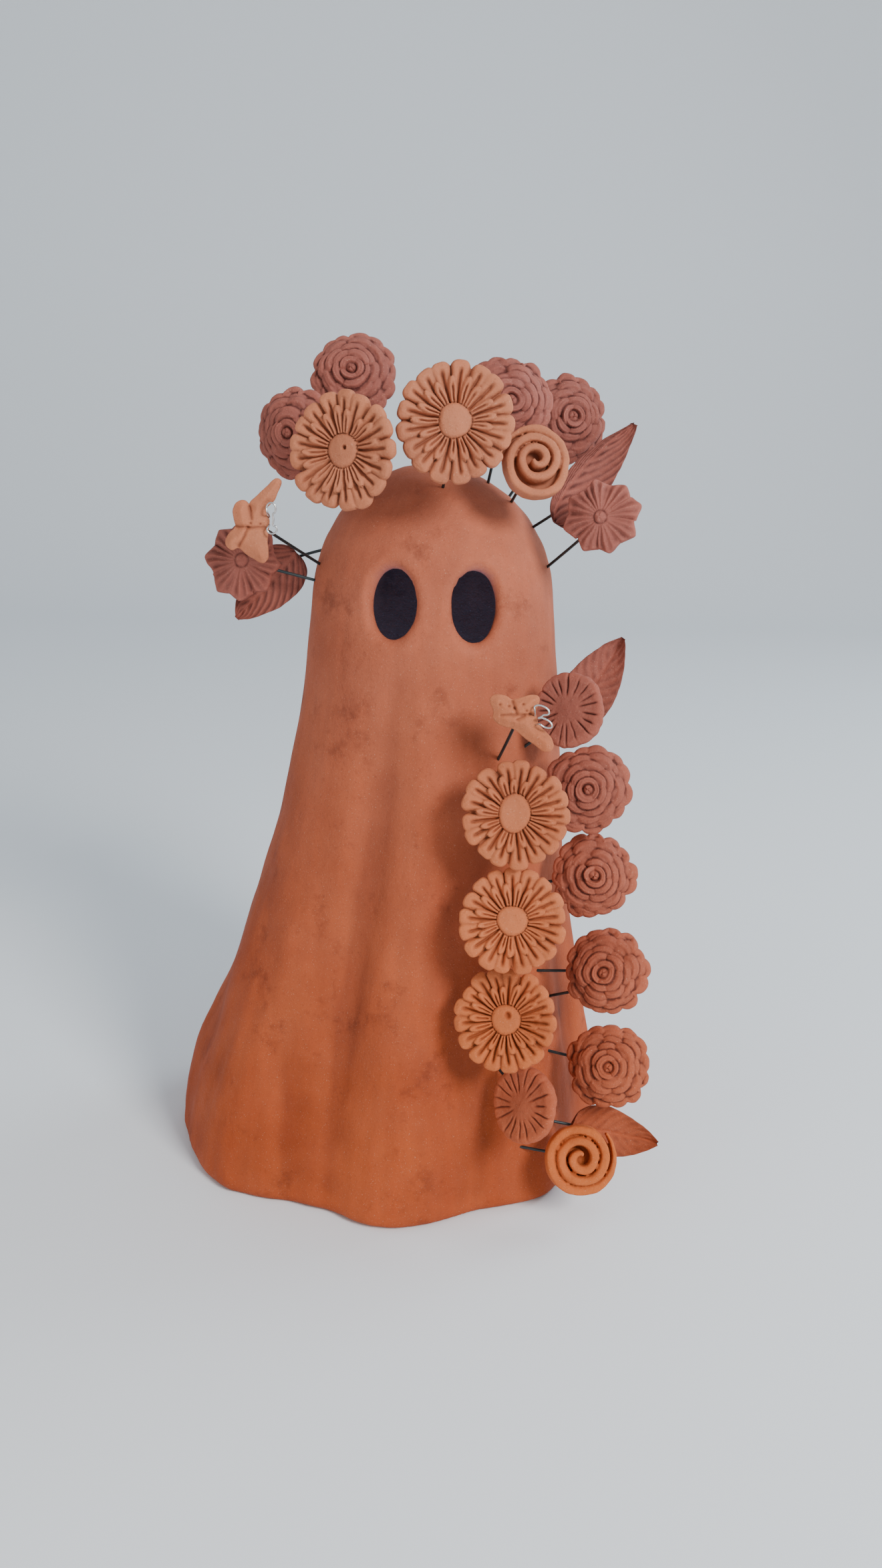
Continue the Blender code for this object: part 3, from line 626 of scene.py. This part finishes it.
def lofted(rings):
    """Points and faces of a closed shape through rings of points, with a fan at each end."""
    sides = len(rings[0])
    points = np.vstack([np.asarray(ring) for ring in rings] + [[np.mean(rings[0], axis=0)],
                                                               [np.mean(rings[-1], axis=0)]])
    start, end = len(points) - 2, len(points) - 1
    last = (len(rings) - 1) * sides
    faces = []
    for i in range(sides):
        j = (i + 1) % sides
        faces.append((start, j, i))
        for k in range(len(rings) - 1):
            faces.append((k * sides + i, k * sides + j, (k + 1) * sides + j, (k + 1) * sides + i))
        faces.append((last + i, last + j, end))
    return points, faces


def joined(solids):
    """Several solids as one set of points and faces."""
    points, faces = [], []
    for some_points, some_faces in solids:
        shift = sum(len(p) for p in points)
        points.append(some_points)
        faces += [tuple(i + shift for i in face) for face in some_faces]
    return np.vstack(points), faces


ROSE_TURNS = 2.95


def rolled_strip(size, dropped):
    """The rose's strip of clay, standing on edge and rolled outwards, each turn a little lower. The last
    turn may hang clear of the rest by dropped, towards -Y of the flower's own frame."""
    scale = size / 30.0
    steps = 170
    sides = 16
    low = 1.0
    first = 1.7 * scale
    pitch = (size / 2 + 1.5 * scale - first) / ROSE_TURNS
    rings = []
    for k in range(steps + 1):
        t = k / steps
        angle = TAU * ROSE_TURNS * t
        middle = first + pitch * ROSE_TURNS * t * (1.0 - 0.10 * t)
        strip = pitch * 0.77 * min(1.0, 0.5 + 4.0 * t) * min(1.0, 0.30 + 7.0 * (1.0 - t))
        high = (10.6 - 2.2 * t - 2.2 * max(0.0, t - 0.72) / 0.28) * (0.4 + 0.6 * scale)
        hang = dropped * max(0.0, t - 0.45) * max(0.0, math.cos(angle - 1.0))
        ring = []
        for i in range(sides):
            turn = TAU * i / sides
            across = abs(math.cos(turn)) ** 0.6 * math.copysign(1.0, math.cos(turn))
            upward = abs(math.sin(turn)) ** 0.5 * math.copysign(1.0, math.sin(turn))
            radius = middle + hang + across * strip / 2
            height = (high + low) / 2 + upward * (high - low) / 2
            ring.append((radius * math.cos(angle), radius * math.sin(angle), height))
        rings.append(ring)
    return lofted(rings)


def foot_disc(size):
    """The round foot that a rose's turns are pressed into."""
    r = size / 2
    angles = [TAU * i / 48 for i in range(48)]
    rings = []
    for share, height in ((0.2, -0.8), (0.5, -0.2), (0.82, 0.8), (0.90, 2.2), (0.84, 3.6), (0.3, 3.8)):
        rings.append([(r * share * math.cos(a), r * share * math.sin(a), height) for a in angles])
    return lofted(rings)


def leaf(length, broad=0.56, behind=0.0, midrib_at=0.0, slant=2.4, ribbed=0.85):
    """A cupped, pointed leaf with a midrib and side ribs that slant forward. Its base lies behind x = 0 by
    behind, and midrib_at moves the midrib off the middle, as a share of the half width."""
    width = broad * length
    along, across = 130, 44
    rings = []
    for i in range(along + 1):
        t = 0.004 + 0.992 * i / along
        half = 0.5 * width * max(0.03, math.sin(math.pi * t**0.62)) ** 0.66
        top, bottom = [], []
        for j in range(across + 1):
            s = math.sin(math.pi / 2 * (2.0 * j / across - 1.0))
            aside = abs(s - midrib_at) / (1.0 + math.copysign(midrib_at, midrib_at - s))
            lift = 0.17 * width * s * s + 0.055 * length * (2 * t - 1) ** 2 + 1.7
            thick = 3.6 * (1.0 - 0.40 * t) * math.sqrt(max(0.0, 1.0 - abs(s) ** 4))
            phase = t * 9.0 - slant * aside * (0.75 + 0.25 * aside)
            rib = ribbed * (0.5 - 0.5 * math.cos(TAU * phase)) ** 0.6
            fade = min(1.0, (1.0 - abs(s)) / 0.10) * min(1.0, aside / 0.10) * min(1.0, (1.0 - t) / 0.10)
            groove = 0.9 * math.exp(-(((s - midrib_at) * half / 0.6) ** 2)) * min(1.0, (1.0 - t) / 0.1)
            place = (t * (length + behind) - behind, s * half)
            top.append((*place, lift + thick / 2 + (rib - ribbed / 2) * fade - groove))
            bottom.append((*place, lift - thick / 2))
        rings.append(top + bottom[-2:0:-1])
    return lofted(rings)


# Butterflies seen from the front, x to the right and y up, in millimetres from their middle: the outline,
# the pressed lines between the wings, and the pin holes.
Butterfly = namedtuple("Butterfly", "outline lines pins")

BUTTERFLIES = {
    "long_winged": Butterfly(
        ((8.8, 15.4), (10.4, 13.9), (8.9, 10.5), (7.6, 7.5), (5.2, 5.1), (4.4, 3.1), (5.6, 0.4),
         (5.5, -1.8), (5.1, -7.0), (5.6, -11.2), (5.3, -13.9), (3.4, -15.4), (1.0, -14.6),
         (-3.2, -12.0), (-5.5, -10.0), (-8.0, -11.0), (-10.0, -9.5), (-10.5, -7.2), (-9.0, -4.4),
         (-6.9, -2.4), (-7.2, -0.2), (-7.9, 3.1), (-6.8, 6.0), (-4.5, 7.3), (-2.5, 6.7), (-1.5, 4.6),
         (-1.2, 6.9), (2.0, 10.0), (6.2, 14.0)),
        (((-1.6, 5.2), (-0.6, 0.8)), ((-6.4, -2.0), (4.6, -2.7)), ((-1.8, -2.3), (-5.6, -9.4))),
        ((-0.9, -0.8), (2.6, -1.3)),
    ),
    "broad_winged": Butterfly(
        ((-12.0, 8.2), (-11.1, 9.9), (-8.7, 10.5), (-5.6, 9.8), (-3.6, 8.7), (-0.5, 9.5), (3.1, 10.5),
         (5.6, 10.3), (6.1, 8.4), (4.6, 4.6), (4.8, 2.5), (5.5, 0.3), (6.4, -1.2), (8.9, -3.2),
         (11.1, -5.4), (11.9, -7.9), (11.2, -10.0), (8.9, -10.5), (7.0, -9.6), (4.2, -7.6), (0.5, -5.1),
         (-2.8, -2.8), (-6.2, -1.9), (-9.0, -0.6), (-10.9, 1.6), (-10.5, 3.0), (-10.8, 4.8), (-11.6, 6.4)),
        (((-3.6, 8.0), (-2.2, 3.4)), ((-2.0, 0.8), (0.6, 2.4)), ((-7.6, 2.4), (4.0, 2.9))),
        ((0.1, 6.6), (-4.7, 5.9), (-2.9, 5.1), (2.4, 3.2), (1.2, 4.2), (-8.0, 6.6)),
    ),
}


def smooth_span(before, start, end, after, count):
    """Points from start towards end on a smooth curve through all four points."""
    span = []
    for k in range(count):
        t = k / count
        span.append(0.5 * (
            2 * start + (end - before) * t
            + (2 * before - 5 * start + 4 * end - after) * t**2
            + (3 * start - before - 3 * end + after) * t**3
        ))
    return span


def rounded_outline(corners, per_side=5):
    """A smooth closed curve through an outline's points."""
    count = len(corners)
    p = np.array(corners)
    curve = []
    for i in range(count):
        curve += smooth_span(p[i - 1], p[i], p[(i + 1) % count], p[(i + 2) % count], per_side)
    return np.array(curve)


def cut_slab(outline, thick):
    """A slab of an outline's shape, from z = 0 to its thickness."""
    bm = bmesh.new()
    ring = [bm.verts.new((x, y, 0.0)) for x, y in outline]
    face = bm.faces.new(ring)
    made = bmesh.ops.extrude_face_region(bm, geom=[face])
    for item in made["geom"]:
        if isinstance(item, bmesh.types.BMVert):
            item.co.z = thick
    bmesh.ops.recalc_face_normals(bm, faces=bm.faces)
    bmesh.ops.triangulate(bm, faces=bm.faces)
    bm.verts.index_update()
    points = np.array([v.co for v in bm.verts])
    faces = [tuple(v.index for v in f.verts) for f in bm.faces]
    bm.free()
    return points, faces


def butterfly_front(points, shape, thick):
    """Puffs the wings up and presses the lines and pin holes into a butterfly's front."""
    x, y, z = points.T
    share = np.clip(z / thick, 0, 1)
    rim = np.full(len(points), np.inf)
    for rim_x, rim_y in rounded_outline(shape.outline):
        rim = np.minimum(rim, np.hypot(x - rim_x, y - rim_y))
    puffed = 1.7 * (1.0 - np.exp(-((rim / 2.4) ** 2))) - 0.9
    moved = z + 0.12 * np.abs(y) + share * (puffed + 0.5 * np.exp(-((y / 1.6) ** 2)))
    for (x0, y0), (x1, y1) in shape.lines:
        run = np.array((x1 - x0, y1 - y0))
        t = np.clip(((x - x0) * run[0] + (y - y0) * run[1]) / run.dot(run), 0, 1)
        away = np.hypot(x - x0 - t * run[0], y - y0 - t * run[1])
        moved -= 1.0 * share * np.exp(-((away / 0.55) ** 2))
    for px, py in shape.pins:
        moved -= 1.1 * share * np.exp(-((np.hypot(x - px, y - py) / 0.5) ** 2))
    return np.column_stack((x, y, moved))


# ---------------------------------------------------------------- building the pieces

VOXEL = 0.38
BUTTERFLY_THICK = 3.4
LEAF_LENGTH_SHARE = 0.96  # how long the CAD leaf is, as a share of the one drawn here
HAND_MARKS = ((0.5, 9.0), (0.16, 2.6))  # how deep and how wide the marks of fingers and mould are


def build_ornament(name, item, looks, seed):
    seat = Seat(name, item)
    rng = np.random.default_rng(seed)
    piece = name + "_clay"
    if item.kind == "spiral":
        strip = rolled_strip(seat.size, item.traits.get("dropped", 0.0))
        points, faces = joined((strip, foot_disc(seat.size)))
        made = remeshed(mesh_object(piece, points, faces), VOXEL, 2)
    elif item.kind == "butterfly":
        shape = BUTTERFLIES[item.traits["shape"]]
        points, faces = cut_slab(rounded_outline(shape.outline), BUTTERFLY_THICK)
        made = remeshed(mesh_object(piece, points, faces), VOXEL, 3)
    elif item.kind == "leaf":
        made = mesh_object(piece, *leaf(seat.length / LEAF_LENGTH_SHARE, **item.traits))
    else:
        maker = {"daisy": daisy, "pompon": pompon, "bellflower": bellflower, "button": button}[item.kind]
        made = mesh_object(piece, *maker(seat.size, rng, **item.traits))
    points = np.array([v.co for v in made.data.vertices])
    if item.kind == "butterfly":
        points = butterfly_front(points, shape, BUTTERFLY_THICK)
    for k, (amount, width) in enumerate(HAND_MARKS):
        points = hand_made(points, amount, width, seed + 0.5 * k)
    made.data.vertices.foreach_set("co", seat.world(points).ravel())
    made.data.update()
    mark_relief(made.data)
    slot = CLAY_OF[item.kind]
    finished(made, looks[slot], name, name)


SHARP_EDGE = 1.3  # in radians, just under a right angle


def end_ring(bm):
    """The vertices round one end of a closed tube: a closed loop of edges at right angles."""
    def sharp_neighbours(vertex):
        return [e.other_vert(vertex) for e in vertex.link_edges if e.calc_face_angle(0.0) > SHARP_EDGE]

    for start in bm.verts:
        ring = set()
        fresh = {start}
        while fresh:
            ring |= fresh
            fresh = {other for v in fresh for other in sharp_neighbours(v)} - ring
        if len(ring) > 3 and all(len(sharp_neighbours(v)) == 2 for v in ring):
            return ring


def centre_line(node):
    """The middles of a wire's rings, from one end to the other, read from its CAD tube."""
    bm = bmesh.new()
    bm.from_mesh(frame["nodes"][node].data)
    bmesh.ops.remove_doubles(bm, verts=bm.verts, dist=1e-6)
    bm.verts.index_update()
    ring = end_ring(bm)
    seen = set()
    middles = []
    while ring:
        in_order = sorted(ring, key=lambda v: v.index)
        middles.append(sum((v.co for v in in_order), Vector()) / len(ring))
        seen |= ring
        ring = {e.other_vert(v) for v in ring for e in v.link_edges} - seen
    bm.free()
    return middles


def relaxed(points, rounds):
    """A line drawn straighter between its two ends, which stay where they are."""
    points = list(points)
    for _ in range(rounds):
        points[1:-1] = [(a + b) / 2 for a, b in zip(points, points[2:])]
    return points


def smooth_line(points, per_span):
    """A smooth curve through a line's points."""
    padded = [2 * points[0] - points[1]] + points + [2 * points[-1] - points[-2]]
    curve = []
    for four in zip(padded, padded[1:], padded[2:], padded[3:]):
        curve += smooth_span(*four, per_span)
    return curve + [points[-1]]


IRON_RADIUS = 0.6
IRON_STRAIGHTENING = 24
BRIGHT_RADIUS = 0.33


def build_wire(node, body, radius, looks, slot, straightening=0):
    """A round wire along the middle of its CAD tube."""
    curve = bpy.data.curves.new(node + "_wire", "CURVE")
    curve.dimensions = "3D"
    curve.bevel_depth = radius * MM
    curve.bevel_resolution = 4
    curve.use_fill_caps = True
    points = smooth_line(relaxed(centre_line(node), straightening), per_span=6)
    spline = curve.splines.new("POLY")
    spline.points.add(len(points) - 1)
    for spline_point, point in zip(spline.points, points):
        spline_point.co = (*point, 1.0)
    spline.use_smooth = True
    made = bpy.data.objects.new(node + "_wire", curve)
    bpy.context.collection.objects.link(made)
    finished(made, looks[slot], node, body)


DRAPE_TOP = 215.0  # where the hanging folds start
DRAPE_FADE = 140.0  # how far below that they are at their strongest
GHOST_VOXEL = 0.00182  # in metres, because the shell is remeshed in its place
EYE_HALF_WIDTH = 9.3
EYE_HALF_HEIGHT = 14.0
RIM_SMOOTHING = 24
RIM_CLOSING = np.array((0.15, 0.0, 0.075))  # how far the rim moves in, as a share of its distance


def eye_distances(places):
    """How far each point is from each eye's middle, as a share of the eye's size seen from the front, which
    points are on the eye's side of the head, and that middle."""
    for opening in frame["record"]["physics"]["openings"]:
        if opening["name"].endswith("_eye"):
            low, high = (np.array(corner) / MM for corner in opening["box_m"])
            middle = (low + high) / 2
            across = (places[:, 0] - middle[0]) / EYE_HALF_WIDTH
            upward = (places[:, 2] - middle[2]) / EYE_HALF_HEIGHT
            yield np.hypot(across, upward), places[:, 1] < middle[1] + EYE_HALF_HEIGHT, middle


def build_ghost(looks):
    """The pressed shell: the CAD wall with softened rims, hand marks and a lip round each eye."""
    made = bpy.data.objects.new("ghost_body_clay", frame["nodes"]["ghost_body"].data.copy())
    bpy.context.collection.objects.link(made)
    remeshed(made, GHOST_VOXEL, 8)
    mesh = made.data
    places = mesh_points(mesh) / MM
    for away, near, middle in eye_distances(places):
        places = smoothed(mesh, places, RIM_SMOOTHING, near & (away > 0.6) & (away < 1.25))
        rim = np.where(near, np.exp(-(((away - 1.0) / 0.3) ** 2)), 0.0)
        places -= (places - middle) * RIM_CLOSING * rim[:, None]
    normals = mesh_normals(mesh)

    push = np.empty(len(places))
    for i, place in enumerate(places):
        p = Vector(place)
        wide = noise.noise(p / 42.0)
        thumb = noise.noise(p / 13.0 + Vector((5, 1, 9)))
        wiped = noise.noise(Vector((p.x / 5.0, p.y / 5.0, p.z / 26.0)))
        drape = noise.noise(Vector((p.x / 17.0, p.y / 17.0, p.z / 120.0 + 4.0)))
        hanging = min(1.0, max(0.0, (DRAPE_TOP - p.z) / DRAPE_FADE))
        push[i] = 0.6 * wide + 0.28 * thumb + 0.10 * wiped + 2.4 * drape * hanging
    for away, near, _ in eye_distances(places):
        lip = 0.8 * np.exp(-(((away - 1.2) / 0.2) ** 2))
        push += np.where(near & (normals[:, 1] < -0.2), lip, 0.0)
    grounded = np.clip(places[:, 2] / 3.0, 0, 1)
    places += normals * (push * grounded)[:, None]
    mesh.vertices.foreach_set("co", (places * MM).ravel())
    mesh.update()
    mark_relief(mesh)
    finished(made, looks["body_terracotta"], "ghost_body", "ghost")


# ---------------------------------------------------------------- floor, light and camera

def build_stage(looks):
    """A pale floor that sweeps up into a pale backdrop."""
    half_width = 2.5
    front, back = -2.5, 1.3
    bend, bend_steps = 0.5, 12
    top = 3.0
    profile = [(front, 0.0), (back, 0.0)]
    for k in range(1, bend_steps + 1):
        angle = math.pi / 2 * k / bend_steps
        profile.append((back + bend * math.sin(angle), bend * (1.0 - math.cos(angle))))
    profile.append((back + bend, top))
    points = [(x, y, z) for y, z in profile for x in (-half_width, half_width)]
    faces = [(2 * k, 2 * k + 1, 2 * k + 3, 2 * k + 2) for k in range(len(profile) - 1)]
    floor = mesh_object("floor", points, faces)
    floor.data.materials.append(looks)


def add_light(name, place, target, size, power, colour):
    light = bpy.data.lights.new(name, "AREA")
    light.shape = "DISK"
    light.size = size
    light.energy = power
    light.color = colour
    made = bpy.data.objects.new(name, light)
    made.location = place
    made.rotation_euler = (Vector(target) - Vector(place)).to_track_quat("-Z", "Y").to_euler()
    bpy.context.collection.objects.link(made)


def build_lights():
    middle = (0.0, 0.0, 0.18)
    add_light("key", (0.80, -1.05, 0.98), middle, 0.5, 23.0, (1.0, 0.98, 0.96))
    add_light("fill", (-1.1, -0.9, 0.35), middle, 1.0, 5.0, (1.0, 0.80, 0.62))
    add_light("window", (1.1, 0.5, 0.9), middle, 0.8, 8.0, (0.80, 0.92, 1.0))
    add_light("hollow", (0.012, 0.0, 0.09), (0.012, 0.02, 0.3), 0.03, 0.24, (0.07, 0.34, 1.0))
    world = bpy.data.worlds.new("studio")
    world.use_nodes = True
    background = world.node_tree.nodes["Background"]
    background.inputs["Color"].default_value = (0.86, 0.92, 1.0, 1.0)
    background.inputs["Strength"].default_value = 0.56
    bpy.context.scene.world = world


CAMERA_AT = (0.0122, -0.5367, 0.328)
CAMERA_PITCH = 17.0
CAMERA_ROLL = 1.2
FOCAL_PER_HEIGHT = 0.85038


def build_camera():
    """Looks slightly down at the ghost's face; its lens is given as focal length over picture height."""
    camera = bpy.data.cameras.new("camera")
    camera.sensor_width = 36.0
    camera.lens = camera.sensor_width * FOCAL_PER_HEIGHT
    camera.clip_start = 0.01
    made = bpy.data.objects.new("camera", camera)
    tilt = Matrix.Rotation(math.radians(90.0 - CAMERA_PITCH), 4, "X")
    roll = Matrix.Rotation(math.radians(CAMERA_ROLL), 4, "Z")
    made.matrix_world = Matrix.Translation(CAMERA_AT) @ tilt @ roll
    bpy.context.collection.objects.link(made)
    bpy.context.scene.camera = made


# ---------------------------------------------------------------- main

build_camera()
build_lights()
build_stage(plain("pale_floor", (0.84, 0.88, 0.91, 1.0), 0.9))

LOOKS = {
    "body_terracotta": clay(
        "body_terracotta_look",
        colour=(0.405, 0.117, 0.061, 1.0), warm_light_at_foot=(0.39, 0.077, 0.020, 1.0), relief=0.35, smudges_and_fold_shade=0.7,
    ),
    "light_clay": clay(
        "light_clay_look", colour=(0.455, 0.163, 0.083, 1.0), warm_light_at_foot=(0.52, 0.130, 0.031, 1.0), relief=0.52,
    ),
    "red_clay": clay(
        "red_clay_look", colour=(0.285, 0.093, 0.071, 1.0), warm_light_at_foot=(0.37, 0.087, 0.034, 1.0), relief=0.95,
    ),
    "fired_iron": iron("fired_iron_look"),
    "bright_wire": bright_wire("bright_wire_look"),
}

build_ghost(LOOKS)
for number, (ornament_name, ornament) in enumerate(ORNAMENTS.items()):
    build_ornament(ornament_name, ornament, LOOKS, number + 1)
for body_name, members in frame["record"]["behaviour"]["bodies"].items():
    for member in members:
        if member.endswith(("_stem", "_brace")):
            build_wire(member, body_name, IRON_RADIUS, LOOKS, "fired_iron", IRON_STRAIGHTENING)
        if member.endswith("_antennae"):
            build_wire(member, body_name, BRIGHT_RADIUS, LOOKS, "bright_wire")
